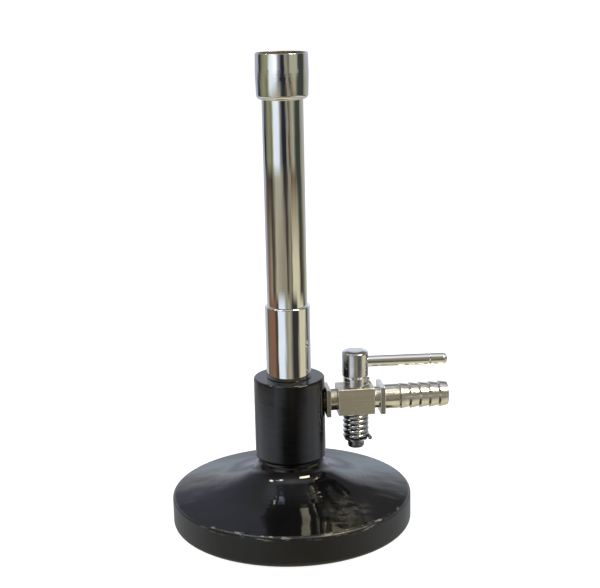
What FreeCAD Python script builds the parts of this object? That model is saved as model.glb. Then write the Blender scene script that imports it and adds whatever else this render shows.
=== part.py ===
"""Laboratory gas burner with a stopcock: a parametric FreeCAD document, one object for each loose piece.

Frame: origin on the burner's axis in the plane that the base stands on, +Z up, +X along the gas
inlet towards the hose nozzle. Millimetres.
"""
import FreeCAD, Part
import math
import os

import Sketcher

SIZES = [
    # cast base
    ("base_radius", 40.0),
    ("base_rim_height", 10.3),
    ("base_rim_round", 1.2),
    ("base_foot_round", 1.8),
    ("base_foot_inner_radius", 34.0),
    ("base_shoulder_radius", 22.0),
    ("base_shoulder_height", 13.3),
    ("base_sweep_round", 45.0),
    ("boss_radius", 10.8),
    ("boss_foot_height", 18.4),
    ("boss_foot_round", 5.0),
    ("boss_top", 22.5),
    ("base_cavity_edge_height", 6.8),
    ("base_pad_radius", 9.0),
    ("base_pad_height", 11.5),
    # screw that holds the burner's body on the base
    ("base_screw_radius", 3.0),
    ("base_screw_head_radius", 5.0),
    ("base_screw_head_height", 4.0),
    ("base_screw_length", 19.0),
    ("base_screw_slot", 1.2),
    ("base_washer_thickness", 1.2),
    ("base_washer_radius", 5.4),
    # burner's body
    ("body_radius", 11.72),
    ("body_top", 50.0),
    ("body_top_round", 0.6),
    ("body_foot_round", 1.0),
    ("tube_socket_floor", 45.0),
    ("screw_hole_top", 32.0),
    ("gas_height", 41.0),
    ("gas_way_radius", 1.75),
    ("inlet_face", 11.0),
    ("inlet_face_radius", 4.4),
    ("inlet_hole_floor", 5.0),
    ("fit_gap", 0.05),
    # jet
    ("jet_thread_radius", 2.45),
    ("jet_foot", 41.8),
    ("jet_washer_thickness", 0.6),
    ("jet_washer_radius", 4.1),
    ("jet_hexagon_radius", 4.5),
    ("jet_hexagon_height", 3.4),
    ("jet_nose_radius", 3.0),
    ("jet_nose_shoulder", 54.0),
    ("jet_tip", 58.0),
    ("jet_tip_radius", 1.5),
    ("jet_way_radius", 1.1),
    ("jet_orifice_radius", 0.4),
    # burner tube
    ("tube_radius", 6.55),
    ("tube_wall", 0.8),
    ("tube_chamber_wall", 0.55),
    ("tube_chamber_top", 72.5),
    ("tube_foot", 45.5),
    ("tube_top", 152.5),
    ("air_hole_height", 62.0),
    ("air_hole_radius", 4.0),
    ("pilot_hole_radius", 0.6),
    ("pilot_hole_height", 145.6),
    # air collar
    ("collar_bore_radius", 6.62),
    ("collar_radius", 7.35),
    ("collar_foot", 50.1),
    ("collar_top", 74.4),
    ("collar_edge", 0.3),
    ("collar_turn", 25.0),
    # flame stabiliser
    ("stabiliser_foot", 141.1),
    ("stabiliser_top", 155.5),
    ("stabiliser_foot_radius", 8.18),
    ("stabiliser_belly_radius", 8.42),
    ("stabiliser_belly_height", 149.0),
    ("stabiliser_mouth_radius", 8.28),
    ("stabiliser_bore_radius", 7.35),
    ("stabiliser_foot_round", 1.5),
    ("stabiliser_belly_round", 60.0),
    ("stabiliser_ring_top", 143.4),
    # inlet nipple, its seal and its lock nut
    ("inlet_washer_thickness", 0.8),
    ("inlet_washer_radius", 3.9),
    ("lock_nut_thickness", 1.55),
    ("square_width", 9.4),
    ("square_edge", 0.2),
    ("nipple_thread_radius", 2.95),
    ("nipple_start", 5.4),
    ("neck_radius", 3.6),
    ("block_start", 15.8),
    ("block_end", 28.1),
    ("block_width", 9.0),
    ("block_edge", 0.25),
    ("block_thread_radius", 2.55),
    ("block_thread_depth", 2.4),
    # taper plug
    ("plug_station", 22.15),
    ("plug_top_radius", 3.4),
    ("plug_bottom_radius", 3.0),
    ("plug_clearance", 0.03),
    ("plug_stem_radius", 4.0),
    ("plug_stem_foot", 4.75),
    ("plug_stem_top", 7.6),
    ("plug_head_foot", 8.35),
    ("plug_head_radius", 4.4),
    ("plug_head_edge", 16.3),
    ("plug_head_top", 16.65),
    ("plug_head_round", 0.45),
    ("plug_tail_radius", 1.9),
    ("plug_tail_foot", -13.2),
    ("plug_screw_hole_top", -6.0),
    ("lever_angle", -3.0),
    # stop pin and the notch that it runs in
    ("stop_pin_radius", 0.7),
    ("stop_pin_offset", 4.45),
    ("stop_pin_direction", 15.0),
    ("stop_pin_foot", 2.9),
    ("stop_pin_top", 7.1),
    ("stop_notch_radius", 3.5),
    ("stop_notch_top", 7.35),
    ("stop_notch_angle", 112.0),
    ("stop_notch_direction", 60.0),
    # lever
    ("lever_radius", 1.85),
    ("lever_root", 1.6),
    ("lever_end", 30.75),
    ("lever_end_round", 1.35),
    ("lever_height", 12.7),
    ("lever_ring_station", 24.6),
    ("lever_ring_width", 0.5),
    ("lever_ring_depth", 0.15),
    # spring under the plug, its two washers and its screw
    ("spring_washer_thickness", 0.45),
    ("spring_washer_radius", 4.1),
    ("spring_mean_radius", 3.7),
    ("spring_wire", 1.3),
    ("spring_pitch", 1.5),
    ("spring_length", 8.65),
    ("retaining_washer_radius", 3.9),
    ("retaining_screw_radius", 1.2),
    ("retaining_head_radius", 2.75),
    ("retaining_head_height", 2.85),
    ("retaining_head_round", 0.8),
    ("retaining_slot", 0.8),
    ("retaining_slot_depth", 1.0),
    ("retaining_screw_reach", 6.5),
    # hose nozzle
    ("nozzle_plate_start", 29.9),
    ("nozzle_plate_end", 31.6),
    ("nozzle_shank_radius", 4.1),
    ("nozzle_bore_radius", 1.9),
    ("barb_start", 37.1),
    ("barb_pitch", 3.33),
    ("barb_crest_radius", 4.38),
    ("barb_root_radius", 3.9),
    ("nozzle_end", 53.3),
]
PILOT_HOLES = 8
BARBS = 5
PLANE_OF = {"flat": "XY_Plane", "side": "XZ_Plane", "end": "YZ_Plane"}

doc = FreeCAD.newDocument("gas_burner")
sheet = doc.addObject("Spreadsheet::Sheet", "sizes")


def fill_sheet():
    for row, (alias, number) in enumerate(SIZES, start=1):
        sheet.set("A%d" % row, alias.replace("_", " "))
        sheet.set("B%d" % row, str(number))
        sheet.setAlias("B%d" % row, alias)
    doc.recompute()


def expand(expression):
    """An expression over the sheet's aliases, with each alias given its sheet's name."""
    words = []
    word = ""
    for letter in str(expression) + " ":
        if letter.isalnum() or letter in "_.":
            word += letter
            continue
        words.append("sizes." + word if sheet.getCellFromAlias(word) else word)
        words.append(letter)
        word = ""
    return "".join(words).strip()


def bind(piece, place, expression):
    piece.setExpression(place, expand(expression))


def number(owner, expression):
    """What an expression over the sheet comes to, as a plain number."""
    return float(owner.evalExpression(expand(expression)))


def new_body(name):
    body = doc.addObject("PartDesign::Body", name)
    body.Label = name
    return body


def new_sketch(body, name, plane, lift="0", swing="0"):
    """A sketch on one of the body's own planes, lifted along its normal and swung about its up axis."""
    sketch = body.newObject("Sketcher::SketchObject", name)
    roles = {feature.Role: feature for feature in body.Origin.OriginFeatures}
    sketch.AttachmentSupport = [(roles[PLANE_OF[plane]], "")]
    sketch.MapMode = "FlatFace"
    swung = FreeCAD.Rotation(FreeCAD.Vector(0, 1, 0), number(sketch, swing))
    sketch.AttachmentOffset = FreeCAD.Placement(FreeCAD.Vector(), swung)
    bind(sketch, ".AttachmentOffset.Base.z", lift)
    bind(sketch, ".AttachmentOffset.Rotation.Angle", swing)
    return sketch


def pin_point(sketch, geometry, vertex, across, up):
    """Holds a sketch point at two expressions measured from the sketch's origin."""
    for kind, expression, axis in (("DistanceX", across, -2), ("DistanceY", up, -1)):
        if str(expression) == "0":
            sketch.addConstraint(Sketcher.Constraint("PointOnObject", geometry, vertex, axis))
            continue
        distance = number(sketch, expression)
        index = sketch.addConstraint(Sketcher.Constraint(kind, -1, 1, geometry, vertex, distance))
        bind(sketch, "Constraints[%d]" % index, expression)


def draw_outline(sketch, corners):
    """A closed outline of straight sides. A corner is (across, up) or (across, up, round)."""
    places = []
    for corner in corners:
        places.append(FreeCAD.Vector(number(sketch, corner[0]), number(sketch, corner[1]), 0))
    rounds = [number(sketch, corner[2]) if len(corner) > 2 else 0.0 for corner in corners]
    count = len(corners)
    leave = []
    reach = []
    for i in range(count):
        before = (places[i - 1] - places[i]).normalize()
        after = (places[(i + 1) % count] - places[i]).normalize()
        cut = rounds[i] / math.tan(before.getAngle(after) / 2) if rounds[i] else 0.0
        reach.append(places[i] + before * cut)
        leave.append(places[i] + after * cut)
    sides = []
    for i in range(count):
        side = Part.LineSegment(leave[i], reach[(i + 1) % count])
        sides.append(sketch.addGeometry(side, False))
    for i in range(count):
        if not rounds[i]:
            sketch.addConstraint(Sketcher.Constraint("Coincident", sides[i - 1], 2, sides[i], 1))
            pin_point(sketch, sides[i], 1, corners[i][0], corners[i][1])
            continue
        draw_round(sketch, corners[i], places[i], rounds[i], sides[i - 1], sides[i], reach[i], leave[i])


def draw_round(sketch, corner, place, radius, side_in, side_out, start, end):
    """An arc between two sides, with the corner that they would meet in held as a point."""
    inward = ((start + end) * 0.5 - place).normalize()
    half = (start - place).getAngle(inward)
    centre = place + inward * (radius / math.sin(half))
    anticlockwise = (start - centre).cross(end - centre).z > 0
    near, far = (1, 2) if anticlockwise else (2, 1)
    first, last = (start, end) if anticlockwise else (end, start)
    from_angle = math.atan2(first.y - centre.y, first.x - centre.x)
    to_angle = math.atan2(last.y - centre.y, last.x - centre.x)
    if to_angle < from_angle:
        to_angle += 2 * math.pi
    circle = Part.Circle(centre, FreeCAD.Vector(0, 0, 1), radius)
    arc = sketch.addGeometry(Part.ArcOfCircle(circle, from_angle, to_angle), False)
    sketch.addConstraint(Sketcher.Constraint("Tangent", side_in, 2, arc, near))
    sketch.addConstraint(Sketcher.Constraint("Tangent", arc, far, side_out, 1))
    index = sketch.addConstraint(Sketcher.Constraint("Radius", arc, radius))
    bind(sketch, "Constraints[%d]" % index, corner[2])
    point = sketch.addGeometry(Part.Point(place), True)
    sketch.addConstraint(Sketcher.Constraint("PointOnObject", point, 1, side_in))
    sketch.addConstraint(Sketcher.Constraint("PointOnObject", point, 1, side_out))
    pin_point(sketch, point, 1, corner[0], corner[1])


def draw_circle(sketch, across, up, radius):
    centre = FreeCAD.Vector(number(sketch, across), number(sketch, up), 0)
    reach = number(sketch, radius)
    circle = sketch.addGeometry(Part.Circle(centre, FreeCAD.Vector(0, 0, 1), reach), False)
    index = sketch.addConstraint(Sketcher.Constraint("Radius", circle, reach))
    bind(sketch, "Constraints[%d]" % index, radius)
    pin_point(sketch, circle, 3, across, up)


def draw_box(sketch, left, right, low, high):
    draw_outline(sketch, [(left, low), (right, low), (right, high), (left, high)])


def turn(body, corners, axis="V_Axis"):
    """A solid of revolution: corners are (radius, height), or (station, radius) about H_Axis."""
    sketch = new_sketch(body, body.Name + "_profile", "side")
    draw_outline(sketch, corners)
    turned = body.newObject("PartDesign::Revolution", body.Name + "_turned")
    turned.Profile = sketch
    turned.ReferenceAxis = (sketch, [axis])
    turned.Angle = 360.0
    doc.recompute()
    return turned


def turned_piece(name, corners, axis="V_Axis"):
    body = new_body(name)
    turn(body, corners, axis)
    return body


def pad(body, name, plane, lift, length, draw, *sizes):
    """Adds a prism from a sketch, drawn by the function given, along the plane's normal."""
    sketch = new_sketch(body, body.Name + "_" + name + "_sketch", plane, lift)
    draw(sketch, *sizes)
    added = body.newObject("PartDesign::Pad", body.Name + "_" + name)
    added.Profile = sketch
    bind(added, "Length", length)
    doc.recompute()
    return added


def pocket(body, name, plane, lift, depth, draw, *sizes, reverse=False):
    """Cuts a prism against the plane's normal, or along it in reverse."""
    before = body.Shape.Volume
    sketch = new_sketch(body, body.Name + "_" + name + "_sketch", plane, lift)
    draw(sketch, *sizes)
    cut = body.newObject("PartDesign::Pocket", body.Name + "_" + name)
    cut.Profile = sketch
    cut.Reversed = reverse
    bind(cut, "Length", depth)
    doc.recompute()
    check_removed(body, name, before)
    return cut


def groove(body, name, plane, corners, axis="V_Axis", angle=None, swing="0"):
    """Cuts a turned shape: all round, or through an angle centred on the sketch's own plane."""
    before = body.Shape.Volume
    sketch = new_sketch(body, body.Name + "_" + name + "_sketch", plane, swing=swing)
    draw_outline(sketch, corners)
    cut = body.newObject("PartDesign::Groove", body.Name + "_" + name)
    cut.Profile = sketch
    cut.ReferenceAxis = (sketch, [axis])
    if angle is None:
        cut.Angle = 360.0
    else:
        cut.Midplane = True
        bind(cut, "Angle", angle)
    doc.recompute()
    check_removed(body, name, before)
    return cut


def check_removed(body, name, before):
    """A cut that points away from the solid removes nothing, so its volume is compared."""
    if not before - body.Shape.Volume > 1e-3:
        raise RuntimeError("%s: the cut %s removed nothing" % (body.Name, name))


def chamfer_all(body, feature, width):
    """A small chamfer on every edge of one feature."""
    edges = ["Edge%d" % (i + 1) for i in range(len(feature.Shape.Edges))]
    dressed = body.newObject("PartDesign::Chamfer", body.Name + "_edges")
    dressed.Base = (feature, edges)
    bind(dressed, "Size", width)
    doc.recompute()
    return dressed


def place(body, across="0", back="0", up="0", angle="0"):
    for axis, expression in (("x", across), ("y", back), ("z", up)):
        bind(body, "Placement.Base." + axis, expression)
    bind(body, "Placement.Rotation.Angle", angle)


def ring(name, inner, outer, low, high, axis="V_Axis"):
    """A flat washer: inner and outer radius, and its two faces along its axis."""
    if axis == "V_Axis":
        corners = [(inner, low), (outer, low), (outer, high), (inner, high)]
    else:
        corners = [(low, inner), (low, outer), (high, outer), (high, inner)]
    return turned_piece(name, corners, axis)


def make_base():
    return turned_piece("base", [
        ("base_screw_radius + 0.3", "base_pad_height"),
        ("base_pad_radius", "base_pad_height"),
        ("base_foot_inner_radius - 1", "base_cavity_edge_height", "2"),
        ("base_foot_inner_radius", "0"),
        ("base_radius", "0", "base_foot_round"),
        ("base_radius", "base_rim_height", "base_rim_round"),
        ("base_shoulder_radius", "base_shoulder_height", "base_sweep_round"),
        ("boss_radius", "boss_foot_height", "boss_foot_round"),
        ("boss_radius", "boss_top"),
        ("base_screw_radius + 0.3", "boss_top"),
    ])


def make_base_screw():
    head_top = "base_pad_height - base_washer_thickness"
    head_foot = head_top + " - base_screw_head_height"
    body = turned_piece("base_screw", [
        ("0", head_foot),
        ("base_screw_head_radius", head_foot, "0.8"),
        ("base_screw_head_radius", head_top),
        ("base_screw_radius - fit_gap", head_top),
        ("base_screw_radius - fit_gap", head_top + " + base_screw_length"),
        ("0", head_top + " + base_screw_length"),
    ])
    half = "base_screw_slot / 2"
    pocket(body, "slot", "flat", head_foot, "base_screw_head_height * 0.4",
           draw_box, "-6", "6", "-" + half, half, reverse=True)
    return body


def make_base_lock_washer():
    low = "base_pad_height - base_washer_thickness"
    body = ring("base_lock_washer", "base_screw_radius + 0.1", "base_washer_radius", low, "base_pad_height")
    pocket(body, "split", "flat", "base_pad_height", "base_washer_thickness",
           draw_box, "0", "base_washer_radius + 1", "-0.4", "0.4")
    return body


def make_burner_body():
    body = turned_piece("burner_body", [
        ("0", "screw_hole_top"),
        ("base_screw_radius", "screw_hole_top"),
        ("base_screw_radius", "boss_top"),
        ("body_radius", "boss_top", "body_foot_round"),
        ("body_radius", "body_top", "body_top_round"),
        ("tube_radius + fit_gap", "body_top"),
        ("tube_radius + fit_gap", "tube_socket_floor"),
        ("jet_thread_radius + fit_gap", "tube_socket_floor"),
        ("jet_thread_radius + fit_gap", "gas_height"),
        ("0", "gas_height"),
    ])
    pocket(body, "inlet_face", "end", "body_radius + 1", "body_radius + 1 - inlet_face",
           draw_circle, "0", "gas_height", "inlet_face_radius")
    pocket(body, "inlet_hole", "end", "inlet_face", "inlet_face - inlet_hole_floor",
           draw_circle, "0", "gas_height", "nipple_thread_radius + fit_gap")
    pocket(body, "gas_way", "end", "inlet_hole_floor", "inlet_hole_floor + gas_way_radius",
           draw_circle, "0", "gas_height", "gas_way_radius")
    return body


def make_gas_jet():
    seat = "tube_socket_floor + jet_washer_thickness"
    shoulder = seat + " + jet_hexagon_height"
    body = turned_piece("gas_jet", [
        ("jet_way_radius", "jet_foot"),
        ("jet_thread_radius", "jet_foot"),
        ("jet_thread_radius", seat),
        ("jet_nose_radius + 0.8", seat),
        ("jet_nose_radius + 0.8", shoulder),
        ("jet_nose_radius", shoulder),
        ("jet_nose_radius", "jet_nose_shoulder"),
        ("jet_tip_radius", "jet_tip"),
        ("jet_orifice_radius", "jet_tip"),
        ("jet_orifice_radius", "jet_tip - 1"),
        ("jet_way_radius", "jet_tip - 1.7"),
    ])
    corners = []
    for i in range(6):
        turn_by = math.radians(60 * i + 30)
        corners.append(("jet_hexagon_radius * %.6f" % math.cos(turn_by),
                        "jet_hexagon_radius * %.6f" % math.sin(turn_by)))

    def draw_hexagon(sketch):
        draw_outline(sketch, corners)
        draw_circle(sketch, "0", "0", "jet_way_radius")

    pad(body, "hexagon", "flat", seat, "jet_hexagon_height", draw_hexagon)
    return body


def make_burner_tube():
    inner = "tube_radius - tube_wall"
    chamber = "tube_radius - tube_chamber_wall"
    body = turned_piece("burner_tube", [
        (chamber, "tube_foot"),
        ("tube_radius", "tube_foot"),
        ("tube_radius", "tube_top - 0.2"),
        ("tube_radius - 0.2", "tube_top"),
        (inner, "tube_top"),
        (inner, "tube_chamber_top"),
        (chamber, "tube_chamber_top"),
    ])
    pocket(body, "air_hole", "side", "0", "tube_radius + 1",
           draw_circle, "0", "air_hole_height", "air_hole_radius")
    first = pocket(body, "pilot_hole", "side", "0", "tube_radius + 1",
                   draw_circle, "0", "pilot_hole_height", "pilot_hole_radius")
    before = body.Shape.Volume
    holes = body.newObject("PartDesign::PolarPattern", "burner_tube_pilot_holes")
    holes.Originals = [first]
    holes.Axis = (first.Profile[0], ["V_Axis"])
    holes.Angle = 360.0
    holes.Occurrences = PILOT_HOLES
    body.Tip = holes
    doc.recompute()
    check_removed(body, "pilot holes", before)
    return body


def make_air_collar():
    body = turned_piece("air_collar", [
        ("collar_bore_radius", "collar_foot"),
        ("collar_radius", "collar_foot"),
        ("collar_radius", "collar_top - collar_edge"),
        ("collar_radius - collar_edge", "collar_top"),
        ("collar_bore_radius", "collar_top"),
    ])
    pocket(body, "air_hole", "side", "0", "collar_radius + 1",
           draw_circle, "0", "air_hole_height", "air_hole_radius")
    place(body, angle="collar_turn")
    return body


def make_flame_stabiliser():
    return turned_piece("flame_stabiliser", [
        ("tube_radius + 0.01", "stabiliser_foot"),
        ("stabiliser_foot_radius", "stabiliser_foot", "stabiliser_foot_round"),
        ("stabiliser_belly_radius", "stabiliser_belly_height", "stabiliser_belly_round"),
        ("stabiliser_mouth_radius", "stabiliser_top", "0.25"),
        ("stabiliser_bore_radius", "stabiliser_top"),
        ("stabiliser_bore_radius", "stabiliser_ring_top"),
        ("tube_radius + 0.01", "stabiliser_ring_top"),
    ])


def make_inlet_nipple():
    thread_end = "inlet_face + inlet_washer_thickness + lock_nut_thickness"
    body = turned_piece("inlet_nipple", [
        ("nipple_start", "gas_way_radius"),
        ("nipple_start", "nipple_thread_radius"),
        (thread_end, "nipple_thread_radius"),
        (thread_end, "neck_radius"),
        ("block_start", "neck_radius"),
        ("block_start", "block_thread_radius"),
        ("block_start + block_thread_depth - 0.2", "block_thread_radius"),
        ("block_start + block_thread_depth - 0.2", "gas_way_radius"),
    ], "H_Axis")
    place(body, up="gas_height")
    return body


def square_plate(body, start, thickness, hole):
    """A square plate across the X axis, with its edges broken and a round hole."""
    half = "square_width / 2"
    plate = pad(body, "plate", "end", start, thickness, draw_box, "-" + half, half, "-" + half, half)
    chamfer_all(body, plate, "square_edge")
    pocket(body, "hole", "end", start + " + " + thickness, thickness, draw_circle, "0", "0", hole)


def make_lock_nut():
    body = new_body("lock_nut")
    square_plate(body, "inlet_face + inlet_washer_thickness", "lock_nut_thickness",
                 "nipple_thread_radius + fit_gap")
    place(body, up="gas_height")
    return body


def make_inlet_washer():
    body = ring("inlet_washer", "nipple_thread_radius + fit_gap", "inlet_washer_radius",
                "inlet_face", "inlet_face + inlet_washer_thickness", "H_Axis")
    place(body, up="gas_height")
    return body


def make_stopcock_body():
    body = new_body("stopcock_body")
    start = "block_start - plug_station"
    end = "block_end - plug_station"
    half = "block_width / 2"
    block = pad(body, "block", "end", start, "block_end - block_start",
                draw_box, "-" + half, half, "-" + half, half)
    chamfer_all(body, block, "block_edge")
    groove(body, "plug_bore", "side", [
        ("0", "-" + half + " - 0.1"),
        ("plug_bottom_radius", "-" + half + " - 0.1"),
        ("plug_top_radius", half + " + 0.1"),
        ("0", half + " + 0.1"),
    ])
    thread = "block_thread_radius + fit_gap"
    groove(body, "gas_way", "side", [
        (start + " - 0.1", "0"),
        (start + " - 0.1", thread),
        (start + " + block_thread_depth", thread),
        (start + " + block_thread_depth", "gas_way_radius"),
        (end + " - block_thread_depth", "gas_way_radius"),
        (end + " - block_thread_depth", thread),
        (end + " + 0.1", thread),
        (end + " + 0.1", "0"),
    ], "H_Axis")
    pocket(body, "pin_hole", "flat", half, half + " - stop_pin_foot", draw_circle,
           "stop_pin_offset * cos(stop_pin_direction)", "stop_pin_offset * sin(stop_pin_direction)",
           "stop_pin_radius + 0.01")
    place(body, across="plug_station", up="gas_height")
    return body


def place_on_plug(body):
    """On the plug's axis, turned with the lever."""
    place(body, across="plug_station", up="gas_height", angle="lever_angle")


def make_stopcock_plug():
    half = "block_width / 2"
    body = turned_piece("stopcock_plug", [
        ("retaining_screw_radius + fit_gap", "plug_tail_foot"),
        ("plug_tail_radius", "plug_tail_foot"),
        ("plug_tail_radius", "-" + half + " + 0.3"),
        ("plug_bottom_radius - plug_clearance", "-" + half + " + 0.3"),
        ("plug_top_radius - plug_clearance", half + " + 0.1"),
        ("plug_top_radius - plug_clearance", "plug_stem_foot"),
        ("plug_stem_radius", "plug_stem_foot"),
        ("plug_stem_radius", "plug_stem_top"),
        ("plug_head_radius", "plug_head_foot"),
        ("plug_head_radius", "plug_head_edge", "plug_head_round"),
        ("0", "plug_head_top"),
        ("0", "plug_screw_hole_top"),
        ("retaining_screw_radius + fit_gap", "plug_screw_hole_top"),
    ])
    pocket(body, "gas_way", "end", "plug_stem_radius", "2 * plug_stem_radius",
           draw_circle, "0", "0", "gas_way_radius")
    pocket(body, "lever_hole", "end", "plug_head_radius + 1", "plug_head_radius + 1 - lever_root + 0.1",
           draw_circle, "0", "lever_height", "lever_radius + 0.02")
    groove(body, "stop_notch", "end", [
        ("stop_notch_radius", "plug_stem_foot - 0.1"),
        ("plug_stem_radius + 0.2", "plug_stem_foot - 0.1"),
        ("plug_stem_radius + 0.2", "stop_notch_top"),
        ("stop_notch_radius", "stop_notch_top"),
    ], angle="stop_notch_angle", swing="stop_notch_direction - 90")
    place_on_plug(body)
    return body


def make_lever_rod():
    ring_foot = "lever_radius - lever_ring_depth"
    body = turned_piece("lever_rod", [
        ("lever_root", "0"),
        ("lever_root", "lever_radius"),
        ("lever_ring_station", "lever_radius"),
        ("lever_ring_station", ring_foot),
        ("lever_ring_station + lever_ring_width", ring_foot),
        ("lever_ring_station + lever_ring_width", "lever_radius"),
        ("lever_end", "lever_radius", "lever_end_round"),
        ("lever_end", "0"),
    ], "H_Axis")
    place_on_plug(body)
    bind(body, "Placement.Base.z", "gas_height + lever_height")
    return body


def make_stop_pin():
    body = turned_piece("stop_pin", [
        ("0", "stop_pin_foot"),
        ("stop_pin_radius", "stop_pin_foot"),
        ("stop_pin_radius", "stop_pin_top", "0.25"),
        ("0", "stop_pin_top"),
    ])
    place(body, across="plug_station + stop_pin_offset * cos(stop_pin_direction)",
          back="stop_pin_offset * sin(stop_pin_direction)", up="gas_height")
    return body


def make_spring_washers():
    """The washer under the block and the smaller one on the screw's head."""
    seat = "-block_width / 2"
    upper = ring("spring_seat_washer", "plug_tail_radius + 0.1", "spring_washer_radius",
                 seat + " - spring_washer_thickness", seat)
    foot = seat + " - spring_washer_thickness - spring_length"
    lower = ring("spring_retaining_washer", "retaining_screw_radius + 0.1", "retaining_washer_radius",
                 foot + " - spring_washer_thickness", foot)
    for washer in (upper, lower):
        place_on_plug(washer)
    return [upper, lower]


def make_plug_spring():
    """Round wire wound right-handed between the two washers."""
    low = "-block_width / 2 - spring_washer_thickness - spring_length + spring_wire / 2"
    body = new_body("plug_spring")
    wire = new_sketch(body, "plug_spring_wire", "side")
    draw_circle(wire, "spring_mean_radius", low, "spring_wire / 2")
    coil = body.newObject("PartDesign::AdditiveHelix", "plug_spring_coil")
    coil.Profile = wire
    coil.ReferenceAxis = (wire, ["V_Axis"])
    coil.Mode = "pitch-height-angle"
    bind(coil, "Pitch", "spring_pitch")
    bind(coil, "Height", "spring_length - spring_wire")
    doc.recompute()
    place_on_plug(body)
    return body


def make_retaining_screw():
    head_top = "-block_width / 2 - 2 * spring_washer_thickness - spring_length"
    head_foot = head_top + " - retaining_head_height"
    body = turned_piece("retaining_screw", [
        ("0", head_foot),
        ("retaining_head_radius", head_foot, "retaining_head_round"),
        ("retaining_head_radius", head_top),
        ("retaining_screw_radius", head_top),
        ("retaining_screw_radius", head_top + " + retaining_screw_reach"),
        ("0", head_top + " + retaining_screw_reach"),
    ])
    half = "retaining_slot / 2"
    pocket(body, "slot", "flat", head_foot, "retaining_slot_depth",
           draw_box, "-3", "3", "-" + half, half, reverse=True)
    place_on_plug(body)
    return body


def make_hose_nozzle():
    start = "block_end - block_thread_depth + 0.2"
    outline = [
        (start, "nozzle_bore_radius"),
        (start, "block_thread_radius"),
        ("block_end", "block_thread_radius"),
        ("block_end", "neck_radius"),
        ("nozzle_plate_start + 0.5", "neck_radius"),
        ("nozzle_plate_start + 0.5", "nozzle_shank_radius"),
        ("barb_start", "nozzle_shank_radius"),
    ]
    for i in range(BARBS):
        if i:
            outline.append(("barb_start + %d * barb_pitch" % i, "barb_root_radius"))
        outline.append(("barb_start + %d * barb_pitch" % i, "barb_crest_radius"))
    outline += [
        ("nozzle_end", "barb_root_radius", "0.4"),
        ("nozzle_end", "nozzle_bore_radius"),
    ]
    body = turned_piece("hose_nozzle", outline, "H_Axis")
    half = "square_width / 2"

    def draw_plate(sketch):
        draw_box(sketch, "-" + half, half, "-" + half, half)
        draw_circle(sketch, "0", "0", "nozzle_bore_radius + 0.5")

    pad(body, "plate", "end", "nozzle_plate_start", "nozzle_plate_end - nozzle_plate_start", draw_plate)
    place(body, up="gas_height")
    return body


def make_jet_washer():
    return ring("jet_washer", "jet_thread_radius + 0.1", "jet_washer_radius",
                "tube_socket_floor", "tube_socket_floor + jet_washer_thickness")


def check_document(pieces):
    """Stops before anything is written if an object failed or a piece isn't one sound solid."""
    for item in doc.Objects:
        if "Invalid" in item.State or "Error" in item.State:
            raise RuntimeError("%s failed: %s" % (item.Name, item.State))
    for piece in pieces:
        shape = piece.Shape
        if shape.isNull() or not shape.isValid() or len(shape.Solids) != 1:
            raise RuntimeError("%s isn't one valid solid" % piece.Label)


def main():
    fill_sheet()
    pieces = [
        make_base(),
        make_base_screw(),
        make_base_lock_washer(),
        make_burner_body(),
        make_jet_washer(),
        make_gas_jet(),
        make_burner_tube(),
        make_air_collar(),
        make_flame_stabiliser(),
        make_inlet_washer(),
        make_lock_nut(),
        make_inlet_nipple(),
        make_stopcock_body(),
        make_stopcock_plug(),
        make_lever_rod(),
        make_stop_pin(),
        make_plug_spring(),
        make_retaining_screw(),
        make_hose_nozzle(),
    ]
    pieces += make_spring_washers()
    doc.recompute()
    check_document(pieces)
    os.makedirs("parts", exist_ok=True)
    for piece in pieces:
        piece.Shape.exportStep("parts/%s.step" % piece.Label)
        print("%-26s %9.1f mm3" % (piece.Label, piece.Shape.Volume))


main()
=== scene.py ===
"""The look of the laboratory gas burner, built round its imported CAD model.

Shapes are made in millimetres in the model's own frame, +Z up and the gas inlet along +X, and are
brought to metres when a piece is put in place. Where a size can be read from the frame, it is.
"""
import math

import bmesh
import bpy
from mathutils import Matrix, Vector


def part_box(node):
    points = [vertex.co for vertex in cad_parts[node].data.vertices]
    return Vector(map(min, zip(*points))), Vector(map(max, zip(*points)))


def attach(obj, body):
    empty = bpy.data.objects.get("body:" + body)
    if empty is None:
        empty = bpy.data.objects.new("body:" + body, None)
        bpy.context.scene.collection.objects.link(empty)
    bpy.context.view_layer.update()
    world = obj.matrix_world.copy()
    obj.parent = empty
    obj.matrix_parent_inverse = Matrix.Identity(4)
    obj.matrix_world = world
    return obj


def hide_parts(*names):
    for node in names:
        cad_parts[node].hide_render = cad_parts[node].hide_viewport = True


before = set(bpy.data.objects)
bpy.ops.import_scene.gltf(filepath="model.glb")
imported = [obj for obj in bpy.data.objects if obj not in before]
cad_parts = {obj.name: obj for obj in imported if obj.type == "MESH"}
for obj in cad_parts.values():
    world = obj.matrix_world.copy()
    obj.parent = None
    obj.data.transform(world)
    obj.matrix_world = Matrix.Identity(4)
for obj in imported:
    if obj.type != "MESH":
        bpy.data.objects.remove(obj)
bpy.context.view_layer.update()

MM = 0.001
ALONG_X = Matrix.Rotation(math.pi / 2, 4, "Y")
FINE = 192
SMALL = 96

# The camera: where it stands round the burner's axis, and which way it looks.
CAMERA_DISTANCE = 0.4137
CAMERA_HEIGHT = 0.1804
CAMERA_SIDE = math.radians(-6.0)
CAMERA_YAW = math.radians(0.584)
CAMERA_PITCH = math.radians(13.92)
CAMERA_ROLL = math.radians(-1.243)
LENS = 78.53
SENSOR = 36.0


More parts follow.
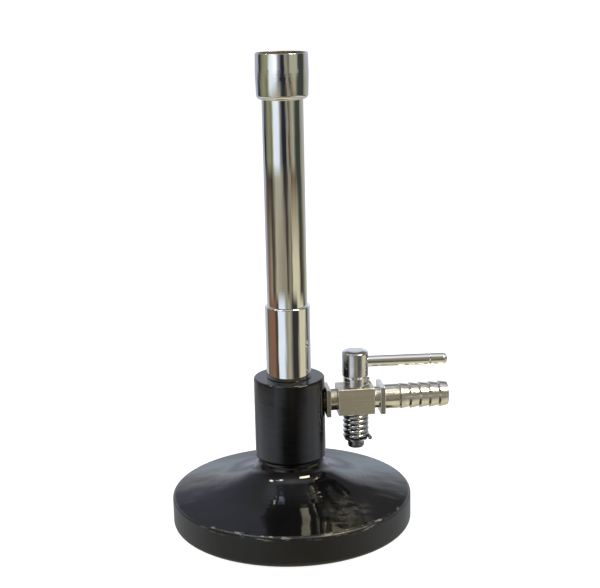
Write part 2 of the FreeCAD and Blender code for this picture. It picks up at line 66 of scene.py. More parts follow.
def make_camera():
    """At the viewing angle, a little above the mouth's height and looking slightly down."""
    data = bpy.data.cameras.new("camera")
    data.sensor_width = SENSOR
    data.lens = LENS
    data.clip_start = 0.01
    data.clip_end = 20.0
    camera = bpy.data.objects.new("camera", data)
    bpy.context.scene.collection.objects.link(camera)
    place = Vector((math.sin(CAMERA_SIDE), -math.cos(CAMERA_SIDE), 0)) * CAMERA_DISTANCE
    place.z = CAMERA_HEIGHT
    heading = CAMERA_YAW - CAMERA_SIDE
    level = math.cos(CAMERA_PITCH)
    ahead = Vector((math.sin(heading) * level, math.cos(heading) * level, -math.sin(CAMERA_PITCH)))
    right = Vector((math.cos(heading), -math.sin(heading), 0))
    up = right.cross(ahead)
    rolled_right = right * math.cos(CAMERA_ROLL) + up * math.sin(CAMERA_ROLL)
    rolled_up = up * math.cos(CAMERA_ROLL) - right * math.sin(CAMERA_ROLL)
    turn = Matrix((rolled_right, rolled_up, -ahead)).transposed().to_4x4()
    camera.matrix_world = Matrix.Translation(place) @ turn
    bpy.context.scene.camera = camera


# ---------------------------------------------------------------- shader nodes

def put(tree, kind, inputs=None, **settings):
    """A new shader node. An input is a number, a colour or another node's output."""
    node = tree.nodes.new("ShaderNode" + kind)
    for key, value in settings.items():
        setattr(node, key, value)
    for key, value in (inputs or {}).items():
        if isinstance(value, bpy.types.NodeSocket):
            tree.links.new(value, node.inputs[key])
        else:
            node.inputs[key].default_value = value
    return node


def math_node(tree, operation, first, second=0.0):
    return put(tree, "Math", {0: first, 1: second}, operation=operation).outputs[0]


def rescale(tree, value, low, high, to_low, to_high):
    """value's stretch from low to high brought to to_low..to_high and held at its ends."""
    inputs = {"Value": value, "From Min": low, "From Max": high, "To Min": to_low, "To Max": to_high}
    return put(tree, "MapRange", inputs).outputs["Result"]


def ramp(tree, value, stops):
    """A colour from a value: stops are (place from 0 to 1, colour)."""
    node = put(tree, "ValToRGB", {"Fac": value})
    elements = node.color_ramp.elements
    while len(elements) < len(stops):
        elements.new(0.5)
    for element, (place, colour) in zip(elements, stops):
        element.position = place
        element.color = (*colour, 1.0)
    return node.outputs["Color"]


def blend_colours(tree, share, first, second):
    node = put(tree, "Mix", {0: share}, data_type="RGBA")
    for socket, colour in ((6, first), (7, second)):
        if isinstance(colour, bpy.types.NodeSocket):
            tree.links.new(colour, node.inputs[socket])
        else:
            node.inputs[socket].default_value = (*colour, 1.0)
    return node.outputs[2]


def noise(tree, scale, stretch=(1, 1, 1), detail=4.0, distortion=0.0):
    """Noise fixed to the piece. scale is in features per metre, and stretch multiplies it along an axis."""
    place = put(tree, "TexCoord").outputs["Object"]
    mapped = put(tree, "Mapping", {"Vector": place, "Scale": stretch}).outputs["Vector"]
    inputs = {"Vector": mapped, "Scale": scale, "Detail": detail, "Distortion": distortion}
    return put(tree, "TexNoise", inputs).outputs["Fac"]


def axes_of(tree):
    """A point's X, Y and Z in the burner's own frame, in metres."""
    return put(tree, "SeparateXYZ", {"Vector": put(tree, "TexCoord").outputs["Object"]}).outputs


def distance_from_axis(tree):
    """How far a point is from the burner's own axis, in metres."""
    place = axes_of(tree)
    square = math_node(tree, "ADD", math_node(tree, "POWER", place["X"], 2.0),
                       math_node(tree, "POWER", place["Y"], 2.0))
    return math_node(tree, "SQRT", square)


def bump(tree, height, distance, under=None):
    """A normal that follows height, distance metres deep at most, on top of the bumps under it."""
    inputs = {"Height": height, "Distance": distance, "Strength": 1.0}
    if under is not None:
        inputs["Normal"] = under
    return put(tree, "Bump", inputs).outputs["Normal"]


# ---------------------------------------------------------------- materials

# How fast marks run along and across each way a piece was machined or polished.
ALONG_THE_BAR = (0.03, 1, 1)
ROUND_THE_X_AXIS = (1, 0.03, 0.03)
ROUND_THE_Z_AXIS = (0.03, 0.03, 1)
EVERY_WAY = (1, 1, 1)


def new_material(name):
    material = bpy.data.materials.new(name)
    material.use_nodes = True
    return material, material.node_tree, material.node_tree.nodes["Principled BSDF"]


def metal(name, colour, shade, roughness, marks, mark_scale, mark_depth, smudges=220.0):
    """Bare or plated metal: colour drifts to shade in patches, under fine marks.

    roughness is its lowest and highest, mark_depth is in metres, and the scales are in features per metre.
    """
    material, tree, shader = new_material(name)
    shader.inputs["Metallic"].default_value = 1.0
    patches = noise(tree, smudges, detail=5.0, distortion=0.6)
    tint = ramp(tree, patches, ((0.35, colour), (0.75, shade)))
    tree.links.new(tint, shader.inputs["Base Color"])
    lines = noise(tree, mark_scale, marks, detail=3.0)
    low, high = roughness
    mixed = math_node(tree, "ADD", math_node(tree, "MULTIPLY", patches, 0.6),
                      math_node(tree, "MULTIPLY", lines, 0.4))
    tree.links.new(rescale(tree, mixed, 0.35, 0.65, low, high), shader.inputs["Roughness"])
    tree.links.new(bump(tree, lines, mark_depth), shader.inputs["Normal"])
    return material


CHROME_TONES = ((0.3, (0.80, 0.80, 0.79)), (0.7, (0.76, 0.76, 0.745)))
CHROME_SMOOTHEST = 0.012
CHROME_ROUGHEST = 0.035
DULLED_COLOUR = (0.30, 0.27, 0.21)
DULLED_ROUGHNESS = 0.4
DULLED_SIDE_FADE = 0.0001
DULLED_FOOT_FADE = 0.0005


def chrome(name, marks, ripple_depth=0.00002, haze=0.0, dulled_radius=0.0, dulled_foot=0.0):
    """Bright plate over a polished surface that isn't quite flat.

    Inside dulled_radius and above dulled_foot the flame has dulled it.
    """
    material, tree, shader = new_material(name)
    shader.inputs["Metallic"].default_value = 1.0
    clouds = noise(tree, 140.0, detail=6.0, distortion=0.8)
    tint = ramp(tree, clouds, CHROME_TONES)
    rough = rescale(tree, clouds, 0.35, 0.7, CHROME_SMOOTHEST + haze, CHROME_ROUGHEST + haze)
    if dulled_radius:
        side = dulled_radius - DULLED_SIDE_FADE
        inside = rescale(tree, distance_from_axis(tree), side, dulled_radius, 1.0, 0.0)
        above = rescale(tree, axes_of(tree)["Z"], dulled_foot - DULLED_FOOT_FADE, dulled_foot, 0.0, 1.0)
        dulled = math_node(tree, "MULTIPLY", inside, above)
        rough = math_node(tree, "ADD", rough, math_node(tree, "MULTIPLY", dulled, DULLED_ROUGHNESS))
        tint = blend_colours(tree, dulled, tint, DULLED_COLOUR)
    tree.links.new(tint, shader.inputs["Base Color"])
    tree.links.new(rough, shader.inputs["Roughness"])
    ripple = bump(tree, noise(tree, 110.0, (1, 1, 0.35), 1.0), ripple_depth)
    polish = bump(tree, noise(tree, 5000.0, marks, 2.0), 0.0000004, under=ripple)
    tree.links.new(polish, shader.inputs["Normal"])
    return material


ENAMEL_TONES = ((0.3, (0.003, 0.003, 0.0035)), (0.7, (0.005, 0.005, 0.005)))
RIM_TONES = ((0.3, (0.009, 0.009, 0.0095)), (0.7, (0.012, 0.012, 0.013)))
RIM_ROUGHNESS = 0.32
DUST_COLOUR = (0.36, 0.29, 0.20)
DUST_SHARE = 0.038
BARE_IRON = (0.42, 0.40, 0.34)
BARE_SHARE = 0.5
SPOILT_ROUGHNESS = 0.40


def dust_and_scuffs(tree):
    """Specks all over the base, and one patch at its right front where the gloss is rubbed off."""
    place = put(tree, "TexCoord").outputs["Object"]
    away = put(tree, "VectorMath", {0: place, 1: SCUFF_PLACE}, operation="DISTANCE").outputs["Value"]
    in_patch = rescale(tree, away, SCUFF_HEART, SCUFF_SIZE, 1.0, 0.0)
    specks = rescale(tree, noise(tree, 1500.0, detail=2.0), 0.68, 0.76, 0.0, 1.0)
    rubbed = rescale(tree, noise(tree, 240.0, (1, 1.6, 1), 6.0, 0.3), 0.36, 0.62, 0.0, 1.0)
    patch = math_node(tree, "MULTIPLY", in_patch, rubbed)
    return math_node(tree, "MAXIMUM", math_node(tree, "MULTIPLY", specks, 0.5), patch)


def rim_wear(tree, radius):
    """Chips along the front of the rim's upper edge."""
    axes = axes_of(tree)
    outside = rescale(tree, radius, RIM_WEAR_FROM, RIM_WEAR_TO, 0.0, 1.0)
    above = rescale(tree, axes["Z"], RIM_WEAR_FOOT, RIM_WEAR_TOP, 0.0, 1.0)
    on_edge = math_node(tree, "MULTIPLY", outside, above)
    in_front = rescale(tree, axes["Y"], RIM_WEAR_FRONT, RIM_WEAR_FRONT / 2, 1.0, 0.0)
    chips = rescale(tree, noise(tree, 260.0, (1, 1, 6), 7.0, 0.5), 0.585, 0.63, 0.0, 1.0)
    return math_node(tree, "MULTIPLY", math_node(tree, "MULTIPLY", on_edge, in_front), chips)


def enamel():
    """Thick glossy black enamel on the cast base: duller on the rim's side, with dust, scuffs and wear."""
    material, tree, shader = new_material("black_enamel_base")
    radius = distance_from_axis(tree)
    side = rescale(tree, radius, RIM_SIDE_FROM, RIM_SIDE_TO, 0.0, 1.0)
    marks = dust_and_scuffs(tree)
    wear = rim_wear(tree, radius)
    top = ramp(tree, noise(tree, 60.0), ENAMEL_TONES)
    clean = blend_colours(tree, side, top, ramp(tree, noise(tree, 400.0), RIM_TONES))
    dusty = blend_colours(tree, math_node(tree, "MULTIPLY", marks, DUST_SHARE), clean, DUST_COLOUR)
    worn = blend_colours(tree, math_node(tree, "MULTIPLY", wear, BARE_SHARE), dusty, BARE_IRON)
    tree.links.new(worn, shader.inputs["Base Color"])
    gloss = rescale(tree, noise(tree, 110.0, detail=5.0), 0.3, 0.7, 0.035, 0.07)
    spoilt = math_node(tree, "MULTIPLY", math_node(tree, "MAXIMUM", marks, wear), SPOILT_ROUGHNESS)
    dull = math_node(tree, "MAXIMUM", math_node(tree, "MULTIPLY", side, RIM_ROUGHNESS), spoilt)
    tree.links.new(math_node(tree, "ADD", gloss, dull), shader.inputs["Roughness"])
    flow = bump(tree, noise(tree, 95.0, detail=1.5), 0.00025)
    peel = bump(tree, noise(tree, 520.0, detail=2.0), 0.000012, under=flow)
    tree.links.new(bump(tree, marks, 0.000005, under=peel), shader.inputs["Normal"])
    return material


def turned_enamel():
    """Thinner black enamel on the turned body, with the tool's rings showing through."""
    material, tree, shader = new_material("black_enamel_body")
    rings = noise(tree, 3200.0, (0.02, 0.02, 1), 3.0)
    colour = ramp(tree, noise(tree, 170.0, (1, 1, 2), 5.0, 0.5),
                  ((0.3, (0.004, 0.004, 0.005)), (0.75, (0.009, 0.008, 0.008))))
    dust = rescale(tree, noise(tree, 1300.0, detail=2.0), 0.70, 0.78, 0.0, 0.12)
    tree.links.new(blend_colours(tree, dust, colour, (0.35, 0.33, 0.30)), shader.inputs["Base Color"])
    tree.links.new(rescale(tree, rings, 0.3, 0.7, 0.07, 0.16), shader.inputs["Roughness"])
    flow = bump(tree, noise(tree, 130.0, detail=1.5), 0.00003)
    tree.links.new(bump(tree, rings, 0.000004, under=flow), shader.inputs["Normal"])
    return material


def fibre():
    """Dark vulcanised fibre, soaked with thread sealant, with bright brass dust in it."""
    material, tree, shader = new_material("fibre_washer")
    specks = rescale(tree, noise(tree, 2600.0, detail=2.0), 0.62, 0.68, 0.0, 1.0)
    mottled = ramp(tree, noise(tree, 900.0, detail=4.0),
                   ((0.3, (0.010, 0.008, 0.007)), (0.7, (0.035, 0.022, 0.016))))
    tree.links.new(blend_colours(tree, specks, mottled, (0.55, 0.38, 0.12)), shader.inputs["Base Color"])
    tree.links.new(rescale(tree, specks, 0.0, 1.0, 0.7, 0.3), shader.inputs["Roughness"])
    tree.links.new(bump(tree, noise(tree, 2200.0, detail=4.0), 0.00003), shader.inputs["Normal"])
    return material


# ---------------------------------------------------------------- shapes

TINY = 1e-6
ARC_STEP = math.radians(9)
LONGEST_SIDE = 2.0
SUPPORT = 0.12


def rounded(corners):
    """A closed outline. Each corner is (across, up) or (across, up, round), and a round becomes an arc."""
    points = []
    for i, corner in enumerate(corners):
        here = Vector(corner[:2])
        if len(corner) < 3:
            points.append(here)
            continue
        radius = corner[2]
        before = (Vector(corners[i - 1][:2]) - here).normalized()
        after = (Vector(corners[(i + 1) % len(corners)][:2]) - here).normalized()
        half = before.angle(after) / 2
        centre = here + (before + after).normalized() * radius / math.sin(half)
        start = here + before * radius / math.tan(half) - centre
        end = here + after * radius / math.tan(half) - centre
        sweep = start.angle_signed(end)
        steps = max(3, math.ceil(abs(sweep) / ARC_STEP), math.ceil(abs(sweep) * radius / LONGEST_SIDE))
        for step in range(steps + 1):
            points.append(centre + Matrix.Rotation(-sweep * step / steps, 2) @ start)
    return points


def divided(points):
    """The same outline with its long sides divided, and a support close to each of their ends."""
    result = []
    for here, there in zip(points, points[1:] + points[:1]):
        result.append(here)
        length = (there - here).length
        if length < 4 * SUPPORT:
            continue
        parts = math.ceil(length / LONGEST_SIDE)
        shares = [SUPPORT / length] + [i / parts for i in range(1, parts)] + [1 - SUPPORT / length]
        result += [here.lerp(there, share) for share in shares]
    return result


def solid(name, shape):
    """The object for a finished bmesh."""
    bmesh.ops.recalc_face_normals(shape, faces=shape.faces)
    mesh = bpy.data.meshes.new(name)
    shape.to_mesh(mesh)
    shape.free()
    item = bpy.data.objects.new(name, mesh)
    bpy.context.scene.collection.objects.link(item)
    return item


def join_rings(shape, low, high, sides):
    """Faces between two rings of vertices. They are triangles where a ring is a single point."""
    for i in range(sides):
        j = (i + 1) % len(low)
        corners = dict.fromkeys((low[i], low[j], high[j], high[i]))
        if len(corners) > 2:
            shape.faces.new(list(corners))


def lathe(name, corners, around=SMALL, start=0.0, sweep=math.tau):
    """The outline of (radius, height[, round]) corners turned about Z, all the way round unless told."""
    whole = sweep > math.tau - TINY
    count = around if whole else around + 1
    shape = bmesh.new()
    rings = []
    for radius, height in divided(rounded(corners)):
        if radius < TINY:
            rings.append([shape.verts.new((0, 0, height))] * count)
            continue
        angles = [start + sweep * i / around for i in range(count)]
        places = [(radius * math.cos(angle), radius * math.sin(angle), height) for angle in angles]
        rings.append([shape.verts.new(place) for place in places])
    for low, high in zip(rings, rings[1:] + rings[:1]):
        join_rings(shape, low, high, around)
    if not whole:
        shape.faces.new([ring[0] for ring in rings])
        shape.faces.new([ring[-1] for ring in rings])
    return solid(name, shape)


def rod(name, radius, low, high):
    return lathe(name, [(0, low), (radius, low), (radius, high), (0, high)])


def block(name, low, high, edge):
    """A box from one corner to the other with its edges rounded."""
    shape = bmesh.new()
    size = Vector(high) - Vector(low)
    middle = (Vector(high) + Vector(low)) / 2
    bmesh.ops.create_cube(shape, size=1.0, matrix=Matrix.Translation(middle) @ Matrix.Diagonal((*size, 1)))
    if edge:
        bmesh.ops.bevel(shape, geom=shape.edges[:], offset=edge, segments=4, profile=0.5, affect="EDGES")
    return solid(name, shape)


# A wire's rounded end, from its tip: (width, how far along), as shares of the wire's and of the end's length,
# which is itself a share of the wire's radius.
WIRE_END = ((0.0, 0.0), (0.35, 0.6), (0.75, 0.93))
WIRE_END_LENGTH = 0.3
WIRE_SIDES = 20


def directions(path):
    """Which way the path runs at each of its points."""
    before = path[:1] + path[:-1]
    after = path[1:] + path[-1:]
    return [(there - here).normalized() for here, there in zip(before, after)]


def wire_stations(path, radius):
    """(centre, direction, share of the full width) from one rounded end of a wire to the other."""
    ahead = directions(path)
    first, last = ahead[0], ahead[-1]
    length = radius * WIRE_END_LENGTH
    stations = [(path[0] - first * length * (1 - along), first, width) for width, along in WIRE_END]
    stations += [(point, way, 1.0) for point, way in zip(path, ahead)]
    for width, along in reversed(WIRE_END):
        stations.append((path[-1] + last * length * (1 - along), last, width))
    return stations


def tube_along(name, path, radius):
    """Round wire that follows the path, with rounded ends."""
    shape = bmesh.new()
    side = Vector((0, 0, 1))
    angles = [math.tau * i / WIRE_SIDES for i in range(WIRE_SIDES)]
    rings = []
    for centre, way, width in wire_stations(path, radius):
        side = (side - way * side.dot(way)).normalized()
        other = way.cross(side)
        if width == 0.0:
            rings.append([shape.verts.new(centre)] * WIRE_SIDES)
            continue
        spokes = [side * math.cos(angle) + other * math.sin(angle) for angle in angles]
        rings.append([shape.verts.new(centre + spoke * radius * width) for spoke in spokes])
    for low, high in zip(rings, rings[1:]):
        join_rings(shape, low, high, WIRE_SIDES)
    return solid(name, shape)


def moved(item, matrix):
    item.data.transform(matrix)
    return item


def combined(item, others, operation="DIFFERENCE"):
    """The item with the others cut out of it, or joined to it."""
    for other in others:
        modifier = item.modifiers.new("combine", "BOOLEAN")
        modifier.operation = operation
        modifier.solver = "EXACT"
        modifier.object = other
    bpy.context.view_layer.update()
    graph = bpy.context.evaluated_depsgraph_get()
    mesh = bpy.data.meshes.new_from_object(item.evaluated_get(graph))
    item.modifiers.clear()
    item.data = mesh
    for other in others:
        bpy.data.objects.remove(other)
    return item


SHARP = math.radians(35)


def settle(item, node, body, material):
    """Brings a finished piece to metres, gives it its finish and puts it in its CAD node's place."""
    item.data.transform(Matrix.Scale(MM, 4))
    item.data.shade_smooth()
    item.data.set_sharp_from_angle(angle=SHARP)
    weighted = item.modifiers.new("even_normals", "WEIGHTED_NORMAL")
    weighted.keep_sharp = True
    item.data.materials.clear()
    item.data.materials.append(material)
    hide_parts(node)
    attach(item, body)
    return item


def span(node):
    """A CAD node's lowest and highest corners, in millimetres."""
    low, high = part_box(node)
    return low / MM, high / MM


# ---------------------------------------------------------------- base and body

BASE_HIGH = span("base")[1]
BASE_RADIUS = BASE_HIGH.x
RIM_HEIGHT = 10.3
TOP_DISH_RADIUS = 22.0
TOP_DISH_HEIGHT = 13.3
TOP_DISH_ROUND = 45.0
BOSS_RADIUS = 10.8
BOSS_FOOT = 18.4
BOSS_FOOT_ROUND = 5.0
BOSS_TOP = BASE_HIGH.z
SCREW_WAY = 3.3
UNDER_PAD_RADIUS = 9.0
UNDER_PAD_HEIGHT = span("base_lock_washer")[1].z
CAVITY_RADIUS = 34.0
CAVITY_EDGE = 6.8

# Where the base's enamel changes, in metres as its material needs them.
RIM_SIDE_FROM = (BASE_RADIUS - 1.2) * MM
RIM_SIDE_TO = (BASE_RADIUS - 0.2) * MM
RIM_WEAR_FROM = (BASE_RADIUS - 1.3) * MM
RIM_WEAR_TO = (BASE_RADIUS - 0.8) * MM
RIM_WEAR_FOOT = (RIM_HEIGHT - 1.6) * MM
RIM_WEAR_TOP = (RIM_HEIGHT - 0.8) * MM
RIM_WEAR_FRONT = -0.033
SCUFF_PLACE = (0.0164, -0.0245, 0.0115)
SCUFF_SIZE = 0.0095
SCUFF_HEART = SCUFF_SIZE * 0.45


def make_base():
    """The cast base: a low rim, a top that sweeps up to the boss, and a hollow underside."""
    item = lathe("base_casting", [
        (SCREW_WAY, UNDER_PAD_HEIGHT),
        (UNDER_PAD_RADIUS, UNDER_PAD_HEIGHT, 0.5),
        (CAVITY_RADIUS - 1, CAVITY_EDGE, 2.0),
        (CAVITY_RADIUS, 0, 0.3),
        (BASE_RADIUS, 0, 1.8),
        (BASE_RADIUS, RIM_HEIGHT, 1.2),
        (TOP_DISH_RADIUS, TOP_DISH_HEIGHT, TOP_DISH_ROUND),
        (BOSS_RADIUS, BOSS_FOOT, BOSS_FOOT_ROUND),
        (BOSS_RADIUS, BOSS_TOP, 0.15),
        (SCREW_WAY, BOSS_TOP),
    ], FINE)
    return settle(item, "base", "burner", enamel())


BODY_LOW, BODY_HIGH = span("burner_body")
BODY_RADIUS = BODY_HIGH.x
TUBE_RADIUS = span("burner_tube")[1].x
SOCKET_RADIUS = TUBE_RADIUS + 0.05
SOCKET_FLOOR = span("jet_washer")[0].z
INLET_FACE = span("inlet_washer")[0].x
BLOCK_LOW, BLOCK_HIGH = span("stopcock_body")
GAS_HEIGHT = (BLOCK_LOW.z + BLOCK_HIGH.z) / 2
GAS_AXIS = Matrix.Translation((0, 0, GAS_HEIGHT)) @ ALONG_X
INLET_FACE_RADIUS = 4.4
INLET_HOLE_RADIUS = 3.0
INLET_HOLE_FLOOR = 5.0
GAS_WAY = 1.75
JET_THREAD = 2.5
SCREW_HOLE_TOP = 32.0
SCREW_HOLE_RADIUS = 3.0


def make_burner_body():
    """The turned body on the boss, with the tube's socket and a flat for the gas inlet."""
    item = lathe("burner_body_turned", [
        (0, SCREW_HOLE_TOP),
        (SCREW_HOLE_RADIUS, SCREW_HOLE_TOP),
        (SCREW_HOLE_RADIUS, BODY_LOW.z),
        (BODY_RADIUS, BODY_LOW.z, 1.0),
        (BODY_RADIUS, BODY_HIGH.z, 0.6),
        (SOCKET_RADIUS, BODY_HIGH.z, 0.1),
        (SOCKET_RADIUS, SOCKET_FLOOR),
        (JET_THREAD, SOCKET_FLOOR),
        (JET_THREAD, GAS_HEIGHT),
        (0, GAS_HEIGHT),
    ], FINE)
    face = moved(rod("face", INLET_FACE_RADIUS, INLET_FACE, BODY_RADIUS + 1), GAS_AXIS)
    hole = moved(rod("hole", INLET_HOLE_RADIUS, INLET_HOLE_FLOOR, BODY_RADIUS), GAS_AXIS)
    way = moved(rod("way", GAS_WAY, 0, INLET_HOLE_FLOOR + 1), GAS_AXIS)
    combined(item, [face, hole, way])
    return settle(item, "burner_body", "burner", turned_enamel())


# ---------------------------------------------------------------- tube, collar and stabiliser

TUBE_LOW, TUBE_HIGH = span("burner_tube")
TUBE_BORE = 5.75
CHAMBER_BORE = 6.0
CHAMBER_TOP = 72.5
AIR_HOLE_RADIUS = 4.0
AIR_HOLE_HEIGHT = 62.0
PILOT_HOLES = 8
PILOT_HOLE_RADIUS = 0.6
PILOT_HOLE_HEIGHT = 145.6
COLLAR_LOW, COLLAR_HIGH = span("air_collar")
COLLAR_RADIUS = COLLAR_HIGH.x
COLLAR_BORE = TUBE_RADIUS + 0.07
COLLAR_EDGE = 0.3
COLLAR_TURN = math.radians(25)
STABILISER_LOW, STABILISER_HIGH = span("flame_stabiliser")
STABILISER_BORE = TUBE_RADIUS + 0.01
STABILISER_FOOT_RADIUS = 8.18
STABILISER_FOOT_ROUND = 1.5
PRESS_RING_TOP = STABILISER_LOW.z + 2.3
BELLY_RADIUS = STABILISER_HIGH.x + 0.035
BELLY_HEIGHT = 149.0
BELLY_ROUND = 60.0
MOUTH_RADIUS = 8.28
MOUTH_BORE = 7.35
MOUTH_DULLED_RADIUS = 8.1
BEHIND = math.pi / 2


def cross_hole(radius, height, direction, reach):
    """What a drill takes out, from the axis outwards in that direction."""
    way = Matrix.Rotation(direction, 4, "Z") @ Matrix.Translation((0, 0, height)) @ ALONG_X
    return moved(rod("drill", radius, 0, reach), way)


def make_burner_tube():
    """The drawn tube, with its air hole behind and the pilot flame's holes under the stabiliser."""
    item = lathe("burner_tube_drawn", [
        (CHAMBER_BORE, TUBE_LOW.z),
        (TUBE_RADIUS, TUBE_LOW.z),
        (TUBE_RADIUS, TUBE_HIGH.z, 0.2),
        (TUBE_BORE, TUBE_HIGH.z),
        (TUBE_BORE, CHAMBER_TOP),
        (CHAMBER_BORE, CHAMBER_TOP),
    ], FINE)
    cuts = [cross_hole(AIR_HOLE_RADIUS, AIR_HOLE_HEIGHT, BEHIND, TUBE_RADIUS + 1)]
    for i in range(PILOT_HOLES):
        direction = math.tau * i / PILOT_HOLES
        cuts.append(cross_hole(PILOT_HOLE_RADIUS, PILOT_HOLE_HEIGHT, direction, TUBE_RADIUS + 1))
    combined(item, cuts)
    return settle(item, "burner_tube", "burner", chrome("chrome_tube", ROUND_THE_Z_AXIS))


def make_air_collar():
    """The sleeve that turns on the tube to open and close the air hole."""
    item = lathe("air_collar_sleeve", [
        (COLLAR_BORE, COLLAR_LOW.z),
        (COLLAR_RADIUS, COLLAR_LOW.z, 0.15),
        (COLLAR_RADIUS, COLLAR_HIGH.z, COLLAR_EDGE),
        (COLLAR_BORE, COLLAR_HIGH.z),
    ], FINE)
    direction = BEHIND + COLLAR_TURN
    combined(item, [cross_hole(AIR_HOLE_RADIUS, AIR_HOLE_HEIGHT, direction, COLLAR_RADIUS + 1)])
    finish = chrome("chrome_collar", ROUND_THE_Z_AXIS, ripple_depth=0.00004)
    return settle(item, "air_collar", "collar", finish)


def make_flame_stabiliser():
    """The wider mouth pressed on the tube's top: a rolled foot and a slightly bellied side."""
    item = lathe("flame_stabiliser_spun", [
        (STABILISER_BORE, STABILISER_LOW.z),
        (STABILISER_FOOT_RADIUS, STABILISER_LOW.z, STABILISER_FOOT_ROUND),
        (BELLY_RADIUS, BELLY_HEIGHT, BELLY_ROUND),
        (MOUTH_RADIUS, STABILISER_HIGH.z, 0.12),
        (MOUTH_BORE, STABILISER_HIGH.z, 0.1),
        (MOUTH_BORE, PRESS_RING_TOP),
        (STABILISER_BORE, PRESS_RING_TOP),
    ], FINE)
    finish = chrome("chrome_mouth", ROUND_THE_Z_AXIS, dulled_radius=MOUTH_DULLED_RADIUS * MM,
                    dulled_foot=PRESS_RING_TOP * MM)
    return settle(item, "flame_stabiliser", "burner", finish)


# ---------------------------------------------------------------- stopcock and hose nozzle

SQUARE_HALF = span("lock_nut")[1].y
NECK_RADIUS = span("inlet_nipple")[1].y
PLUG_STATION = (BLOCK_LOW.x + BLOCK_HIGH.x + 0.4) / 2
LEVER_ANGLE = math.radians(-3)
PLUG_AXIS = Matrix.Translation((PLUG_STATION, 0, GAS_HEIGHT)) @ Matrix.Rotation(LEVER_ANGLE, 4, "Z")
PLUG_HIGH = span("stopcock_plug")[1].z - GAS_HEIGHT
PLUG_LOW = span("stopcock_plug")[0].z - GAS_HEIGHT
BLOCK_HALF = BLOCK_HIGH.y
THREADED_HOLE = 2.6
THREADED_DEPTH = 2.4
INLET_THREAD = 2.95
OUTLET_THREAD = 2.55

# The plug, from its tail up, with heights above the gas way's axis.
TAIL_RADIUS = 1.9
TAIL_HOLE = 1.25
TAIL_HOLE_TOP = -6.0
TAPER_FOOT_RADIUS = 2.97
TAPER_TOP_RADIUS = 3.37
TAPER_HOLE_FOOT_RADIUS = 3.0
TAPER_HOLE_TOP_RADIUS = 3.4
STEM_RADIUS = 4.0
STEM_FOOT = 4.75
STEM_TOP = 7.6
HEAD_RADIUS = 4.4
HEAD_FOOT = 8.35
HEAD_DOME_RADIUS = 2.6
NOTCH_RADIUS = 3.5
NOTCH_FOOT = 4.6
NOTCH_TOP = 7.35
NOTCH_START = math.radians(4)
NOTCH_SWEEP = math.radians(112)


def make_lock_nut():
    """The square plate that locks the inlet against the body."""
    low, high = span("lock_nut")
    item = block("lock_nut_square", low, high, 0.25)
    combined(item, [moved(rod("hole", INLET_HOLE_RADIUS, low.x - 1, high.x + 1), GAS_AXIS)])
    return settle(item, "lock_nut", "burner", nickel["turned"])


def make_inlet_nipple():
    """The neck between the lock nut and the stopcock, and its two threaded ends."""
    low, high = span("inlet_nipple")
    nut_face = span("lock_nut")[1].x
    item = lathe("inlet_nipple_turned", [
        (GAS_WAY, low.x),
        (INLET_THREAD, low.x, 0.2),
        (INLET_THREAD, nut_face),
        (NECK_RADIUS, nut_face, 0.2),
        (NECK_RADIUS, BLOCK_LOW.x, 0.2),
        (OUTLET_THREAD, BLOCK_LOW.x),
        (OUTLET_THREAD, high.x, 0.2),
        (GAS_WAY, high.x),
    ])
    moved(item, GAS_AXIS)
    return settle(item, "inlet_nipple", "burner", nickel["turned"])


def make_stopcock_body():
    """The square bar that holds the plug, bored through both ways."""
    item = block("stopcock_body_block", BLOCK_LOW, BLOCK_HIGH, 0.3)
    gas_way = rod("gas_way", GAS_WAY, BLOCK_LOW.x - 1, BLOCK_HIGH.x + 1)
    inlet = rod("inlet", THREADED_HOLE, BLOCK_LOW.x - 1, BLOCK_LOW.x + THREADED_DEPTH)
    outlet = rod("outlet", THREADED_HOLE, BLOCK_HIGH.x - THREADED_DEPTH, BLOCK_HIGH.x + 1)
    reach = BLOCK_HALF + 0.1
    taper = lathe("taper", [
        (0, -reach),
        (TAPER_HOLE_FOOT_RADIUS, -reach),
        (TAPER_HOLE_TOP_RADIUS, reach),
        (0, reach),
    ])
    combined(item, [moved(cut, GAS_AXIS) for cut in (gas_way, inlet, outlet)] + [moved(taper, PLUG_AXIS)])
    return settle(item, "stopcock_body", "burner", nickel["bar"])


